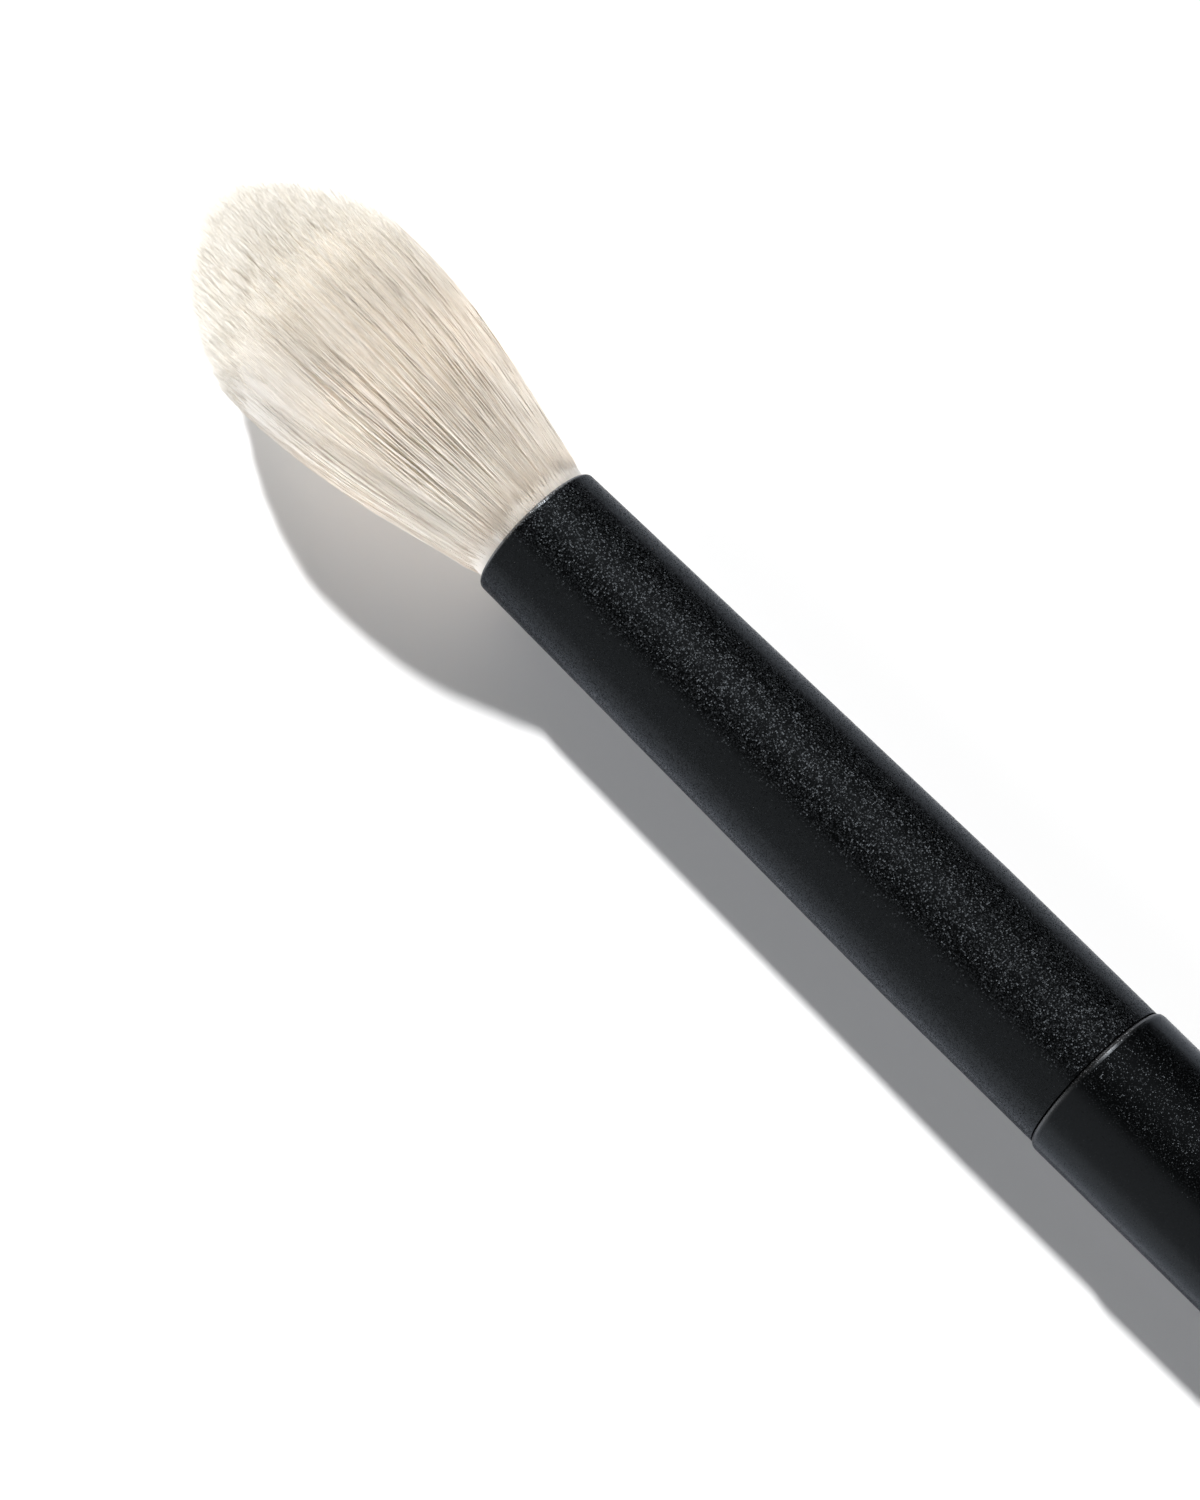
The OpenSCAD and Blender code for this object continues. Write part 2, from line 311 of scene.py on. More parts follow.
def sprayed(name, **values):
    """Matt black paint with metal flakes, as many, as large and as steep as the values say."""
    material = bpy.data.materials.new(name)
    material.use_nodes = True
    tree = material.node_tree
    paint = tree.nodes["Principled BSDF"]
    paint.inputs["Base Color"].default_value = BLACK
    paint.inputs["Metallic"].default_value = 1.0
    paint.inputs["Specular Tint"].default_value = GRAZING_SHARE
    flakes = placed(tree, glitter, values)
    wire(tree,
         (flakes.outputs["Roughness"], paint.inputs["Roughness"]),
         (flakes.outputs["Normal"], paint.inputs["Normal"]))
    return material


def wear_edge(paint, edge, reach, colour):
    """Rubs the paint thin towards an edge across X that things brush against. The wear starts reach
    behind the edge, and is full over the last third of that."""
    tree = paint.node_tree
    place = add(tree, "ShaderNodeTexCoord")
    parts = add(tree, "ShaderNodeSeparateXYZ")
    rubbed = add(tree, "ShaderNodeMapRange", {
        "From Min": edge - reach, "From Max": edge - reach / 3,
    }, interpolation_type="SMOOTHSTEP")
    worn = add(tree, "ShaderNodeMix", {COLOUR_A: BLACK, COLOUR_B: colour}, data_type="RGBA")
    wire(tree,
         (place.outputs["Object"], parts.inputs[0]),
         (parts.outputs["X"], rubbed.inputs["Value"]),
         (rubbed.outputs[0], worn.inputs[0]),
         (worn.outputs[MIXED_COLOUR], tree.nodes["Principled BSDF"].inputs["Base Color"]))
    return paint


WORN_RIM = (0.20, 0.205, 0.21, 1)
RIM_WEAR = 0.22 * MM
mouth_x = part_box("ferrule")[1].x
ferrule_paint = sprayed("ferrule_paint", Flake_Size=0.5, Tilt=0.33)
dress("ferrule", wear_edge(ferrule_paint, mouth_x, RIM_WEAR, WORN_RIM))


# Resin plug: clear amber epoxy, poured over the root ends from behind. It set hard and glossy there,
# and holds them in the ferrule.
dress("resin_plug", grained(
    "amber_resin", roughness=0.15, Dark=(0.42, 0.22, 0.06, 1), Light=(0.74, 0.50, 0.20, 1),
    Grain_per_mm=0.6, Stretch=(1, 1, 1), Depth=0.1))


# Tenon glue: yellowish wood glue, spread on the handle's tenon and squeezed to a thin film between the
# tenon and the ferrule.
dress("tenon_glue", grained(
    "wood_glue", roughness=0.4, Dark=(0.60, 0.50, 0.28, 1), Light=(0.86, 0.79, 0.58, 1),
    Grain_per_mm=1.5, Stretch=(0.3, 1, 1), Depth=0.3))


# Handle: one turned piece of beech, whose tenon is glued into the ferrule. It has the same black paint
# as the ferrule, with smaller flakes that lie flatter, and is worn a little at its shoulder.
WORN_SHOULDER = (0.085, 0.087, 0.09, 1)
SHOULDER_WEAR = 0.4 * MM
seam_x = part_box("ferrule")[0].x
handle_paint = sprayed(
    "handle_paint", Flake_Size=0.36, Tilt=0.26, Paint_Roughness=0.28, Flake_Roughness=0.5)
dress("handle", wear_edge(handle_paint, seam_x, SHOULDER_WEAR, WORN_SHOULDER))


# Tuft core: the middle of the tuft, where the goat hairs lie packed too tight to be told apart. It
# is a closed body a little below the outermost hairs, furrowed along them, and fills the mouth. The
# tuft's lengths are in mm, and its places in mm in front of the mouth.
TUFT_L, BELLY_D, BELLY_AT = 21.6, 11.7, 14.0
DOME_L = TUFT_L - BELLY_AT
NECK_R, NECK_L = 3.45, 4.0
ROOT_R, ROOT_S, FOOT_S = 3.2, -1.2, -0.25
SWELL_POWER, DOME_POWER, CLOSING = 1.1, 0.65, 0.1
LIFT, LEAN, LOOSE_SIDE = 0.6, 0.3, 0.03
AXIS_Z = axis_z / MM
RIDGE_FROM, RIDGE_TO = math.radians(27), math.radians(50)
RIDGE_H, RIDGE_W, RIDGE_STEP = 0.012, 0.06, 0.018
STEP_ENDS, STEP_FADES = 2.4, 0.8
RIDGE_ENDS, RIDGE_FADES = 2.0, 6.0
CORE_DEPTH, NECK_DEPTH = 0.22, 0.08
POLE_DIP, RIM_DIP, DIP_POWER = 0.7, -0.5, 6
FURROWS, FURROW_DEPTH, FURROW_DRIFT = 28, 0.03, 0.35
FEWEST_WAVES, MOST_WAVES = 60, 220
CALM_FROM, CALM_TO = math.radians(18), math.radians(44)
CALMED, CALM_RISE, CALM_FADES, CALM_THINNED = 0.85, 0.1, 3.0, 0.25
AROUND, SIDE_ROWS, DOME_ROWS = 900, 50, 24
POLE_ANGLE = 0.02
TINY = 1e-9
SEED = 11
rng = np.random.default_rng(SEED)


def outline(s):
    """Radius that the outermost hairs keep to at s: narrow behind the rolled lip, a quarter sine that
    swells to the belly, and past it a closing with the square of the way up the dome."""
    up_side = np.clip(s, 0, BELLY_AT) / BELLY_AT
    swell = NECK_R + (BELLY_D / 2 - NECK_R) * np.sin(np.pi / 2 * up_side**SWELL_POWER)
    up_dome = np.clip((s - BELLY_AT) / DOME_L, 0, None)
    closed = BELLY_D / 2 * (1 - CLOSING * up_dome**2)
    root = ROOT_R + (NECK_R - ROOT_R) * np.clip(1 - s / FOOT_S, 0, 1)
    return np.where(s < 0, root, np.where(s < BELLY_AT, swell, closed))


def eased(share):
    """A share from 0 to 1 with a soft start and end: three times its square less twice its cube."""
    return share * share * (3 - 2 * share)


def ridged(turn, s):
    """Share by which the section grows at an angle from its top: a low bell-shaped ridge along the
    shaded side, with the side beyond it a step lower, which comes back to full size underneath. Both
    fade out about the belly."""
    ridge = RIDGE_FROM + (RIDGE_TO - RIDGE_FROM) * np.clip(s / BELLY_AT, 0, 1)
    past = np.clip((turn - ridge) / (2 * RIDGE_W), 0, 1) * np.clip((STEP_ENDS - turn) / STEP_FADES, 0, 1)
    fade = np.clip((BELLY_AT + RIDGE_ENDS - s) / RIDGE_FADES, 0, 1)
    bump = RIDGE_H * np.exp(-(((turn - ridge) / RIDGE_W) ** 2))
    return 1 + fade * (bump - RIDGE_STEP * eased(past))


def in_tuft(u, v, s):
    """Puts points (u, v) of the unit disc into the tuft's section at s. The section rises as it
    swells, stands out a little on the lamp's side, leans that way with the square of the way up the
    dome, and is pressed flat where it would reach below the floor."""
    r = outline(s) * ridged(np.arctan2(u, v), s)
    depth = AXIS_Z + LIFT * (1 - np.cos(np.pi * np.clip(s / BELLY_AT, 0, 1))) / 2
    half = np.sqrt(np.clip(r**2 - (r * u) ** 2, TINY, None))
    z = r * v
    z = np.where((z < 0) & (half > depth), np.maximum(z * depth / half, -depth), z)
    up_dome = np.clip((s - BELLY_AT) / DOME_L, 0, None)
    stand_out = LOOSE_SIDE * np.clip(s, 0, 1) * ((1 - u) / 2) ** 2
    return np.stack([mouth_x / MM + s, r * u - stand_out - LEAN * up_dome**2, depth + z], -1)


def calm(u, v):
    """How smooth the hairs lie at a place (u, v) of the section: not at all on top and on the lamp's
    side, and fully on the shaded side, eased between two angles from the top."""
    return eased(np.clip((np.arctan2(u, v) - CALM_FROM) / (CALM_TO - CALM_FROM), 0, 1))


def end_on_dome(rho):
    """Where a hair at radius share rho ends: past the belly by the dome's length times a power of one
    less the square of rho."""
    return BELLY_AT + DOME_L * (1 - np.clip(rho, 0, 1) ** 2) ** DOME_POWER


def build(name, points, faces, maps):
    """A mesh object from an array of points in mm, one or more arrays of faces, and for each of those
    the place of its faces' corners on a map from 0 to 1, on which the finish can be printed."""
    loops = np.concatenate([f.ravel() for f in faces])
    sizes = np.concatenate([np.full(len(f), f.shape[1]) for f in faces])
    mesh = bpy.data.meshes.new(name)
    mesh.vertices.add(len(points))
    mesh.vertices.foreach_set("co", (points * MM).astype(np.float32).ravel())
    mesh.loops.add(len(loops))
    mesh.loops.foreach_set("vertex_index", loops.astype(np.int32))
    mesh.polygons.add(len(sizes))
    mesh.polygons.foreach_set("loop_start", (np.cumsum(sizes) - sizes).astype(np.int32))
    mesh.polygons.foreach_set("use_smooth", np.full(len(sizes), True))
    mesh.update(calc_edges=True)
    flat = np.concatenate([m.ravel() for m in maps]).astype(np.float32)
    mesh.uv_layers.new(name="OFBake").uv.foreach_set("vector", flat)
    piece = bpy.data.objects.new(name, mesh)
    bpy.context.scene.collection.objects.link(piece)
    return piece


def in_place_of_tuft(piece, material):
    """Gives one piece of the tuft its material, and puts it on the brush in place of the CAD's tuft."""
    piece.data.materials.append(material)
    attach(piece, "root")
    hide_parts("hair_tuft")


def core_grid():
    """The core's surface: a profile that runs up the side and over the dome to its pole, carried once
    round the tuft. It lies a little below the outermost hairs, least at the neck and on the smooth
    side, and its dome is sunk at the pole and raised at the rim. Sines of many frequencies, whose
    phases drift along the hairs, furrow it."""
    turn = np.arange(AROUND) * 2 * np.pi / AROUND
    dome_rho = np.sin(np.linspace(np.pi / 2, POLE_ANGLE, DOME_ROWS + 1)[1:])
    dome_s = end_on_dome(dome_rho) - POLE_DIP - (RIM_DIP - POLE_DIP) * dome_rho**DIP_POWER
    s = np.concatenate([np.linspace(ROOT_S, BELLY_AT - RIM_DIP, SIDE_ROWS), dome_s])
    depth = NECK_DEPTH + (CORE_DEPTH - NECK_DEPTH) * np.clip(s / NECK_L, 0, 1)
    rho = np.concatenate([np.ones(SIDE_ROWS), dome_rho]) * (1 - depth / outline(s))
    smooth = calm(np.sin(turn), np.cos(turn))
    waves = rng.integers(FEWEST_WAVES, MOST_WAVES, FURROWS)[:, None, None]
    phase = rng.uniform(0, 2 * np.pi, FURROWS)[:, None, None]
    drift = rng.normal(0, FURROW_DRIFT, FURROWS)[:, None, None]
    furrow = np.sin(waves * turn + phase + drift * s[:, None]).sum(0) / np.sqrt(FURROWS / 2)
    furrow = furrow * (1 - CALMED * smooth)
    risen = np.clip(s / NECK_L, 0, 1) * np.clip((BELLY_AT + CALM_FADES - s) / CALM_FADES, 0, 1)
    rise = CALM_RISE * smooth * risen[:, None]
    rho = rho[:, None] * (1 + (FURROW_DEPTH * furrow + rise) / outline(s)[:, None])
    rows = in_tuft(rho * np.sin(turn), rho * np.cos(turn), np.broadcast_to(s[:, None], rho.shape))
    return rows, furrow


rows, furrow = core_grid()
n_rows = len(rows)
low_pole, high_pole = rows[0].mean(0), rows[-1].mean(0)
points = np.concatenate([rows.reshape(-1, 3), [low_pole, high_pole]])
i = np.arange(n_rows - 1)[:, None] * AROUND
j = np.arange(AROUND)
nxt = (j + 1) % AROUND
walls = np.stack([i + j, i + AROUND + j, i + AROUND + nxt, i + nxt], -1).reshape(-1, 4)
top_row, poles = (n_rows - 1) * AROUND, n_rows * AROUND
caps = np.concatenate([
    np.stack([j, nxt, np.full(AROUND, poles)], -1),
    np.stack([top_row + nxt, top_row + j, np.full(AROUND, poles + 1)], -1),
])

# On the map the rows lie one above the other, with the faces of the poles as teeth below and above
wide, tall = 1 / AROUND, 1 / (n_rows + 1)
row = (1 + np.arange(n_rows - 1)[:, None]) / (n_rows + 1) + 0 * j
column = j / AROUND + 0 * row
corners = [(column, row), (column, row + tall), (column + wide, row + tall), (column + wide, row)]
wall_map = np.stack([coordinate for corner in corners for coordinate in corner], -1)
tooth, middle, next_tooth, bottom = j / AROUND, j / AROUND + wide / 2, j / AROUND + wide, 0 * j
cap_map = np.stack([
    np.stack([tooth, bottom + tall, next_tooth, bottom + tall, middle, bottom], -1),
    np.stack([next_tooth, bottom + 1 - tall, tooth, bottom + 1 - tall, middle, bottom + 1], -1),
])
core = build("tuft_core", points, [walls, caps], [wall_map, cap_map])
furrow_values = np.append(furrow.ravel(), (0, 0)).astype(np.float32)
core.data.attributes.new("furrow", "FLOAT", "POINT").data.foreach_set("value", furrow_values)

# The cream of the hair from the mouth to the dome, and where one turns into the next, with painted light
# and shade in it: painted shade at the mouth, where the hair meets the ferrule, a neck painted paler
# because the lamp only grazes it, and painted shade on the belly, which the lamp lights most. Towards the
# shaded side, between two places in mm beside the axis, the belly turns paler again as painted light.
RIM_CREAM_PAINTED_SHADE, NECK_CREAM_PAINTED_LIGHT, SIDE_CREAM = (0.90, 0.815, 0.715), (0.98, 0.92, 0.84), (0.97, 0.895, 0.80)
BELLY_CREAM_PAINTED_SHADE, SHADED_SIDE_PAINTED_LIGHT = (0.715, 0.655, 0.57), (0.75, 0.705, 0.645)
DOME_CREAM = (0.97, 0.90, 0.78)
NECK_STARTS, NECK_IS_FULL, SIDE_STARTS, SIDE_IS_FULL = 0.3, 2.4, 3.5, 7.5
BELLY_STARTS, BELLY_IS_FULL, DOME_STARTS, DOME_IS_FULL = 8.5, 14.0, 14.5, 16.5
# The core turns to its dome later than the hairs do, so the belly's painted shade reaches further up it
PACKED_DOME_STARTS, PACKED_DOME_IS_FULL = 16.5, 20.5
PAINTED_LIGHT_STARTS, PAINTED_LIGHT_IS_FULL = 0.5, 5.2

tuft_tone_painted_light_and_shade = bpy.data.node_groups.new("tuft_tone_painted_light_and_shade", "ShaderNodeTree")
for name, colour in (
    ("Rim", RIM_CREAM_PAINTED_SHADE), ("Neck", NECK_CREAM_PAINTED_LIGHT), ("Side", SIDE_CREAM), ("Belly", BELLY_CREAM_PAINTED_SHADE),
    ("Shaded Belly", SHADED_SIDE_PAINTED_LIGHT), ("Dome", DOME_CREAM),
):
    socket = tuft_tone_painted_light_and_shade.interface.new_socket(name, in_out="INPUT", socket_type="NodeSocketColor")
    socket.default_value = (*colour, 1)
for name, start in (("Dome Starts", DOME_STARTS), ("Dome Is Full", DOME_IS_FULL)):
    socket = tuft_tone_painted_light_and_shade.interface.new_socket(name, in_out="INPUT", socket_type="NodeSocketFloat")
    socket.default_value = mouth_x + start * MM
tuft_tone_painted_light_and_shade.interface.new_socket("Colour", in_out="OUTPUT", socket_type="NodeSocketColor")


def turning(starts, is_full, zero):
    """Eases from 0 to 1 between two places on an axis, which are given in mm from zero."""
    return add(tuft_tone_painted_light_and_shade, "ShaderNodeMapRange", {
        "From Min": zero + starts * MM, "From Max": zero + is_full * MM,
    }, interpolation_type="SMOOTHSTEP")


group_in = add(tuft_tone_painted_light_and_shade, "NodeGroupInput")
group_out = add(tuft_tone_painted_light_and_shade, "NodeGroupOutput")
place = add(tuft_tone_painted_light_and_shade, "ShaderNodeTexCoord")
parts = add(tuft_tone_painted_light_and_shade, "ShaderNodeSeparateXYZ")
to_neck = turning(NECK_STARTS, NECK_IS_FULL, mouth_x)
to_side = turning(SIDE_STARTS, SIDE_IS_FULL, mouth_x)
to_belly = turning(BELLY_STARTS, BELLY_IS_FULL, mouth_x)
# Painted light: the belly turns paler towards the shaded side, across Y
to_painted_light = turning(PAINTED_LIGHT_STARTS, PAINTED_LIGHT_IS_FULL, 0)
to_dome = add(tuft_tone_painted_light_and_shade, "ShaderNodeMapRange", interpolation_type="SMOOTHSTEP")
up_neck, up_side, belly, up_belly, up_dome = (
    add(tuft_tone_painted_light_and_shade, "ShaderNodeMix", data_type="RGBA") for _ in range(5))
wire(tuft_tone_painted_light_and_shade,
     (place.outputs["Object"], parts.inputs[0]),
     (parts.outputs["X"], to_neck.inputs["Value"]),
     (to_neck.outputs[0], up_neck.inputs[0]),
     (group_in.outputs["Rim"], up_neck.inputs[COLOUR_A]),
     (group_in.outputs["Neck"], up_neck.inputs[COLOUR_B]),
     (parts.outputs["X"], to_side.inputs["Value"]),
     (to_side.outputs[0], up_side.inputs[0]),
     (up_neck.outputs[MIXED_COLOUR], up_side.inputs[COLOUR_A]),
     (group_in.outputs["Side"], up_side.inputs[COLOUR_B]),
     (parts.outputs["Y"], to_painted_light.inputs["Value"]),
     (to_painted_light.outputs[0], belly.inputs[0]),
     (group_in.outputs["Belly"], belly.inputs[COLOUR_A]),
     (group_in.outputs["Shaded Belly"], belly.inputs[COLOUR_B]),
     (parts.outputs["X"], to_belly.inputs["Value"]),
     (to_belly.outputs[0], up_belly.inputs[0]),
     (up_side.outputs[MIXED_COLOUR], up_belly.inputs[COLOUR_A]),
     (belly.outputs[MIXED_COLOUR], up_belly.inputs[COLOUR_B]),
     (parts.outputs["X"], to_dome.inputs["Value"]),
     (group_in.outputs["Dome Starts"], to_dome.inputs["From Min"]),
     (group_in.outputs["Dome Is Full"], to_dome.inputs["From Max"]),
     (to_dome.outputs[0], up_dome.inputs[0]),
     (up_belly.outputs[MIXED_COLOUR], up_dome.inputs[COLOUR_A]),
     (group_in.outputs["Dome"], up_dome.inputs[COLOUR_B]),
     (up_dome.outputs[MIXED_COLOUR], group_out.inputs["Colour"]))

PACKED_ROUGHNESS, GLOW_DEPTH = 0.7, 2.5
# Painted shade in the core's furrows: its colour darkens towards their bottoms
FURROW_LOW, FURROW_HIGH, FURROW_PAINTED_SHADE = -1.6, 0.4, 0.88
packed_hair = bpy.data.materials.new("packed_hair")
packed_hair.use_nodes = True
tree = packed_hair.node_tree
packed = tree.nodes["Principled BSDF"]
deep = add(tree, "ShaderNodeAttribute", attribute_name="furrow")
raised = add(tree, "ShaderNodeMapRange", {
    "From Min": FURROW_LOW, "From Max": FURROW_HIGH, "To Min": FURROW_PAINTED_SHADE, "To Max": 1.0,
})
cream = placed(tree, tuft_tone_painted_light_and_shade, {
    "Dome Starts": mouth_x + PACKED_DOME_STARTS * MM, "Dome Is Full": mouth_x + PACKED_DOME_IS_FULL * MM,
})
# The furrows' painted shade scales the cream down
furrowed = add(tree, "ShaderNodeVectorMath", operation="SCALE")
wire(tree,
     (deep.outputs["Fac"], raised.inputs["Value"]),
     (cream.outputs["Colour"], furrowed.inputs[0]),
     (raised.outputs[0], furrowed.inputs["Scale"]),
     (furrowed.outputs[0], packed.inputs["Base Color"]))
packed.inputs["Roughness"].default_value = PACKED_ROUGHNESS
packed.inputs["Subsurface Weight"].default_value = 1.0
packed.inputs["Subsurface Radius"].default_value = (1, 1, 1)
packed.inputs["Subsurface Scale"].default_value = GLOW_DEPTH * MM
in_place_of_tuft(core, packed_hair)


# Hair: the free lengths of the goat hair. Each is a tapered fibre that swells out of the mouth with its
# neighbours, clings to them in locks on its way up, and ends in its natural fine point on the dome.
LONG_HAIRS, LONG_RINGS, LONG_R = 1200, 10, 0.028
TIP_HAIRS, TIP_RINGS, TIP_R = 8500, 4, 0.024
THINNEST, THICKEST, POINT_L = 0.75, 1.2, 0.25
GOLDEN_ANGLE, SEAT_JITTER = np.pi * (3 - np.sqrt(5)), 0.3
REACH, SUNK_SHARE, RING_POWER = 0.80, 0.1, 1.05
STRAY_L, STRAY_POWER, END_SPREAD = 0.5, 8, 0.12
SHORTEST_SHARE, LONGEST_SHARE = 0.6, 1.5
LOCKS, TUSSOCKS, OUTER_LOCKS = 1500, 260, 0.9
LOCK_PULL, WEAKEST_SHARE, LOCK_SINK = 0.32, 0.3, 0.010
LOCKS_END, LOCKS_FADE = 16.0, 8.0
LOCK_DRIFT, DRIFT_POWER = 0.02, 1.5
TIP_PULL, TIP_PULL_L = 0.4, 1.6
WAVE_H, WAVE_V_SHARE, WAVE_PHASES = 0.012, 0.7, 7
SLOWEST_WAVE, FASTEST_WAVE = 0.25, 0.7
LOOSE_TIP, LOOSE_POWER, OUTERMOST = 0.01, 3, 1.01

# Half of the locks lie just under the surface, where they show
lock_rho = np.sqrt(rng.random(LOCKS))
lock_rho[: LOCKS // 2] = rng.uniform(OUTER_LOCKS, 1.0, LOCKS // 2)
lock_turn = rng.uniform(0, 2 * np.pi, LOCKS)
lock_u, lock_v = lock_rho * np.cos(lock_turn), lock_rho * np.sin(lock_turn)
lock_loose = 1 - CALMED * calm(lock_u, lock_v)
lock_pull = rng.uniform(WEAKEST_SHARE, 1.0, LOCKS) * lock_loose
lock_sink = rng.uniform(0, LOCK_SINK, LOCKS) * lock_loose
lock_drift = rng.normal(0, LOCK_DRIFT, (2, LOCKS)) * lock_loose
lock_end = rng.normal(0, END_SPREAD, LOCKS)
tussock_rho = np.sqrt(rng.random(TUSSOCKS))
tussock_turn = rng.uniform(0, 2 * np.pi, TUSSOCKS)
tussock_u, tussock_v = tussock_rho * np.cos(tussock_turn), tussock_rho * np.sin(tussock_turn)
tussock_end = rng.normal(0, END_SPREAD, TUSSOCKS)


def nearest(u, v, to_u, to_v):
    """Which of the places (to_u, to_v) is the nearest to each (u, v)."""
    return np.argmin((u[:, None] - to_u) ** 2 + (v[:, None] - to_v) ** 2, axis=1)


def hair_paths(count, rings, inner, outer, scatter, shown, clump):
    """Rings of points along count hairs whose roots lie between the radius shares inner and outer, laid
    evenly along a sunflower's spiral and jittered. With shown, only about the last shown mm of each
    are made, because the rest is in the core. Locks draw their hairs together as far as clump says.
    Each tussock of locks ends at its own height, and each hair up to scatter mm short of that."""
    seat = np.arange(count) + rng.random(count)
    rho = np.sqrt(inner**2 + (outer**2 - inner**2) * seat / count)
    turn = (seat * GOLDEN_ANGLE + rng.normal(0, SEAT_JITTER, count) / np.sqrt(count)) % (2 * np.pi)
    u, v = rho * np.cos(turn), rho * np.sin(turn)
    lock = nearest(u, v, lock_u, lock_v)
    tussock = nearest(lock_u[lock], lock_v[lock], tussock_u, tussock_v)
    end = end_on_dome(rho) + REACH + lock_end[lock] + tussock_end[tussock]
    end += STRAY_L * rng.random(count) ** STRAY_POWER - scatter * rng.random(count) ** 2
    if shown is None:
        start = np.full(count, FOOT_S)
    else:
        start = end - shown * rng.uniform(SHORTEST_SHARE, LONGEST_SHARE, count)
    share = np.linspace(0, 1, rings) ** RING_POWER
    s = start[:, None] + (end - start)[:, None] * share
    ramp = eased(np.clip(s / NECK_L, 0, 1) * np.clip((LOCKS_END - s) / LOCKS_FADE, 0, 1))
    near_tip = np.clip((s - end[:, None]) / TIP_PULL_L + 1, 0, 1)
    pull = lock_pull[lock][:, None] * (clump * LOCK_PULL * ramp + TIP_PULL * near_tip**2)
    drift = clump * (np.clip(s, 0, None) / BELLY_AT) ** DRIFT_POWER
    sink = 1 - lock_sink[lock][:, None] * ramp
    pace = rng.uniform(SLOWEST_WAVE, FASTEST_WAVE, count)[:, None]
    wave = WAVE_H * np.sin(s * pace + rng.uniform(0, WAVE_PHASES, count)[:, None])
    loose = rng.normal(0, LOOSE_TIP, (2, count))[:, :, None] * (s / BELLY_AT) ** LOOSE_POWER
    pu = u[:, None] + (lock_u[lock] - u)[:, None] * pull + lock_drift[0, lock][:, None] * drift
    pv = v[:, None] + (lock_v[lock] - v)[:, None] * pull + lock_drift[1, lock][:, None] * drift
    pu = pu * sink + wave + loose[0]
    pv = pv * sink + wave * WAVE_V_SHARE + loose[1]
    shrink = np.minimum(1, OUTERMOST / np.sqrt(pu**2 + pv**2))
    if shown is not None:
        shrink = shrink * (1 - SUNK_SHARE * (1 - share))
    return in_tuft(pu * shrink, pv * shrink, s)


FIBRE_SIDES = 3
MAP_MARGIN = 0.05
ROOT_TOP, ROOT_FOOT = -0.2, -0.9        # where a root's end lies on its square, in steps of rings


def hair_map(count, rings):
    """Gives each hair a square of its own on the map: its three sides beside each other, its length up
    the square, and its root's end below them. Comes as corners of the side faces and of the end ones."""
    side = np.arange(FIBRE_SIDES)
    ring = np.arange(rings - 1)[:, None]
    corners = [(side, ring), (side + 1, ring), (side + 1, ring + 1), (side, ring + 1)]
    sides = np.stack([np.stack(np.broadcast_arrays(a, b), -1) for a, b in corners], -2).reshape(-1, 2)
    tip_faces = [(j + k, rings - 1 + h) for j in side for k, h in ((0, 0), (1, 0), (0.5, 1))]
    root_face = [(0, ROOT_TOP), (FIBRE_SIDES, ROOT_TOP), (FIBRE_SIDES / 2, ROOT_FOOT)]
    across = math.ceil(math.sqrt(count))
    seat = np.arange(count)
    square = np.stack([seat % across, seat // across], -1)[:, None]
    inside = 1 - 2 * MAP_MARGIN
    return [
        (square + MAP_MARGIN + inside * (np.array([0, 1]) + part) / (FIBRE_SIDES, rings + 1)) / across
        for part in (sides, np.array(tip_faces + root_face))
    ]


NO_HAIRS_WAY = np.array([0.0, 0.6, 0.8])


def hairs(name, paths, radius, taper):
    """A mesh of tapered three-sided fibres along paths, each with a closed root and a point at its tip.
    A ring stands square to its path's heading, and is turned from a way in which no hair heads."""
    count, rings = paths.shape[:2]
    heading = np.gradient(paths, axis=1)
    heading /= np.linalg.norm(heading, axis=2, keepdims=True)
    side = np.cross(heading, NO_HAIRS_WAY)
    side /= np.linalg.norm(side, axis=2, keepdims=True)
    other = np.cross(heading, side)
    r = radius[:, None] * taper
    angle = np.arange(FIBRE_SIDES) * 2 * np.pi / FIBRE_SIDES + rng.uniform(0, 2 * np.pi, (count, 1))
    c, d = np.cos(angle)[:, None, :, None], np.sin(angle)[:, None, :, None]
    ring = paths[:, :, None] + r[:, :, None, None] * (side[:, :, None] * c + other[:, :, None] * d)
    tip = paths[:, -1] + heading[:, -1] * POINT_L
    points = np.concatenate([ring.reshape(count, -1, 3), tip[:, None]], axis=1)
    each = rings * FIBRE_SIDES + 1
    j = np.arange(FIBRE_SIDES)
    nxt = (j + 1) % FIBRE_SIDES
    k = np.arange(rings - 1)[:, None] * FIBRE_SIDES
    quads = np.stack([k + j, k + nxt, k + FIBRE_SIDES + nxt, k + FIBRE_SIDES + j], -1).reshape(-1, 4)
    last = (rings - 1) * FIBRE_SIDES
    point_faces = np.stack([last + j, last + nxt, np.full(FIBRE_SIDES, each - 1)], -1)
    ends = np.concatenate([point_faces, [[2, 1, 0]]])
    first = np.arange(count)[:, None, None] * each
    faces = [(quads + first).reshape(-1, 4), (ends + first).reshape(-1, 3)]
    piece = build(name, points.reshape(-1, 3), faces, hair_map(count, rings))
    strand = np.repeat(rng.random(count), each)
    along = np.tile(np.append(np.repeat(np.linspace(0, 1, rings), FIBRE_SIDES), 1.0), count)
    for label, values in (("strand", strand), ("along", along)):
        attribute = piece.data.attributes.new(label, "FLOAT", "POINT")
        attribute.data.foreach_set("value", values.astype(np.float32))
    return piece


HAIR_ROUGHNESS = 0.55
DARKEST, PALEST = 0.94, 1.02


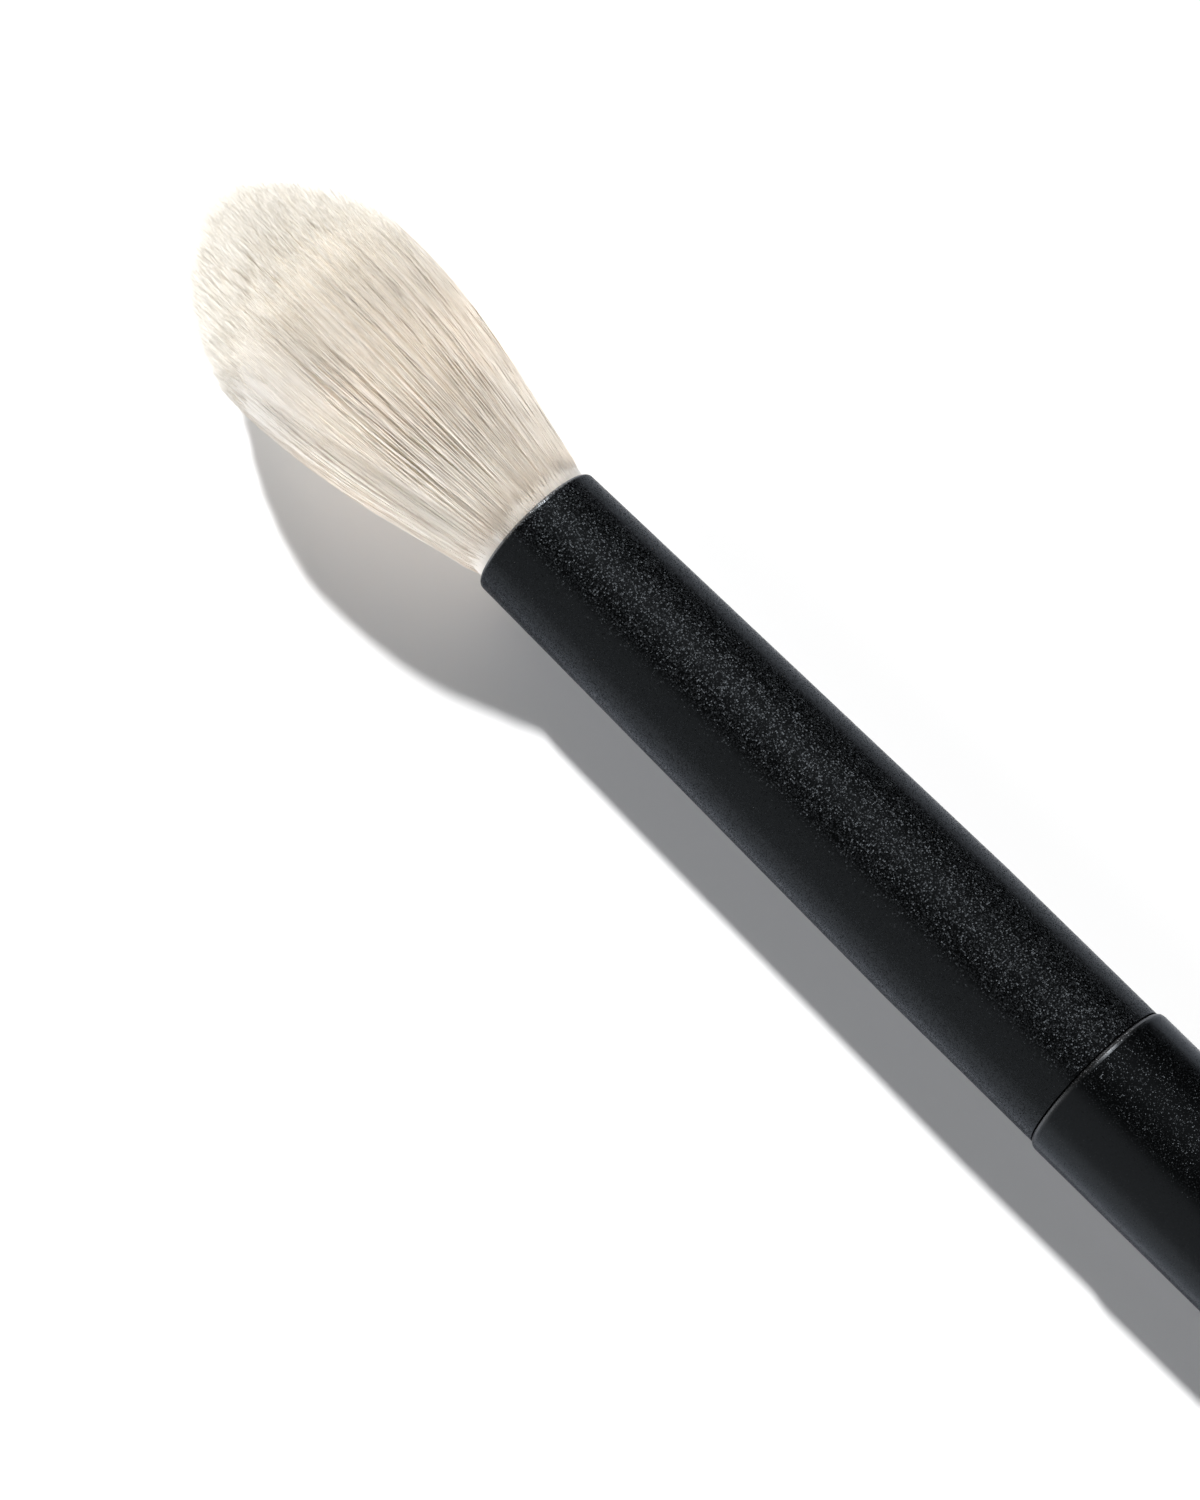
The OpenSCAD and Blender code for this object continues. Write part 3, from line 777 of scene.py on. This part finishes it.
def goat_hair(name, tones, end_colour, pales_from):
    """Matt fibre: cream as the tuft is where it lies, with the tuft's painted light and shade, turning
    into the colour of its end from pales_from of its length on, each hair a little apart from the next."""
    material = bpy.data.materials.new(name)
    material.use_nodes = True
    tree = material.node_tree
    fibre = tree.nodes["Principled BSDF"]
    fibre.inputs["Roughness"].default_value = HAIR_ROUGHNESS
    along = add(tree, "ShaderNodeAttribute", attribute_name="along")
    paling = add(tree, "ShaderNodeMapRange", {"From Min": pales_from})
    strand = add(tree, "ShaderNodeAttribute", attribute_name="strand")
    cream = placed(tree, tuft_tone_painted_light_and_shade, {part: (*colour, 1) for part, colour in tones.items()})
    tint = add(tree, "ShaderNodeMix", {COLOUR_B: (*end_colour, 1)}, data_type="RGBA")
    vary = add(tree, "ShaderNodeMapRange", {"To Min": DARKEST, "To Max": PALEST})
    shade = add(tree, "ShaderNodeVectorMath", operation="SCALE")
    wire(tree,
         (along.outputs["Fac"], paling.inputs["Value"]),
         (paling.outputs[0], tint.inputs[0]),
         (cream.outputs["Colour"], tint.inputs[COLOUR_A]),
         (strand.outputs["Fac"], vary.inputs["Value"]),
         (tint.outputs[MIXED_COLOUR], shade.inputs[0]),
         (vary.outputs[0], shade.inputs["Scale"]),
         (shade.outputs[0], fibre.inputs["Base Color"]))
    return material


# A long hair swells from its root for a while and tapers over its last part, and a tip only tapers
ROOT_SHARE, SWELLING_SHARE, TAPER_FROM_SHARE = 0.5, 0.45, 0.5
LONG_TAPER, TIP_TAPER, TAPER_POWER = 0.8, 0.75, 1.5
up_hair = np.linspace(0, 1, LONG_RINGS)
swelling = ROOT_SHARE + (1 - ROOT_SHARE) * up_hair / SWELLING_SHARE
up_taper = np.clip((up_hair - TAPER_FROM_SHARE) / (1 - TAPER_FROM_SHARE), 0, 1)
long_taper = np.minimum(swelling, 1 - LONG_TAPER * up_taper**TAPER_POWER)
tip_taper = 1 - TIP_TAPER * np.linspace(0, 1, TIP_RINGS) ** TAPER_POWER

LONG_END, TIP_END = (0.85, 0.80, 0.73), (0.89, 0.86, 0.80)
# The tips keep one cream, with painted shade on the dome, which the lamp lights most
TIP_CREAM, TIP_DOME_PAINTED_SHADE = (0.97, 0.90, 0.78), (0.90, 0.845, 0.75)
tip_tones = dict.fromkeys(("Neck", "Side", "Belly", "Shaded Belly"), TIP_CREAM) | {"Dome": TIP_DOME_PAINTED_SHADE}
long_hair = goat_hair("long_hair", {}, LONG_END, pales_from=0.7)
tip_hair = goat_hair("tip_hair", tip_tones, TIP_END, pales_from=0.6)

paths = hair_paths(LONG_HAIRS, LONG_RINGS, inner=0.95, outer=1.0, scatter=2.5, shown=None, clump=1.0)
thinned = 1 - CALM_THINNED * calm(paths[:, 0, 1], paths[:, 0, 2] - AXIS_Z)
radius = LONG_R * rng.uniform(THINNEST, THICKEST, LONG_HAIRS) * thinned
in_place_of_tuft(hairs("hair_long", paths, radius, long_taper), long_hair)
for name in ("hair_tips_a", "hair_tips_b", "hair_tips_c"):
    paths = hair_paths(TIP_HAIRS, TIP_RINGS, inner=0.0, outer=1.0, scatter=0.6, shown=4.0, clump=0.3)
    radius = TIP_R * rng.uniform(THINNEST, THICKEST, TIP_HAIRS)
    in_place_of_tuft(hairs(name, paths, radius, tip_taper), tip_hair)
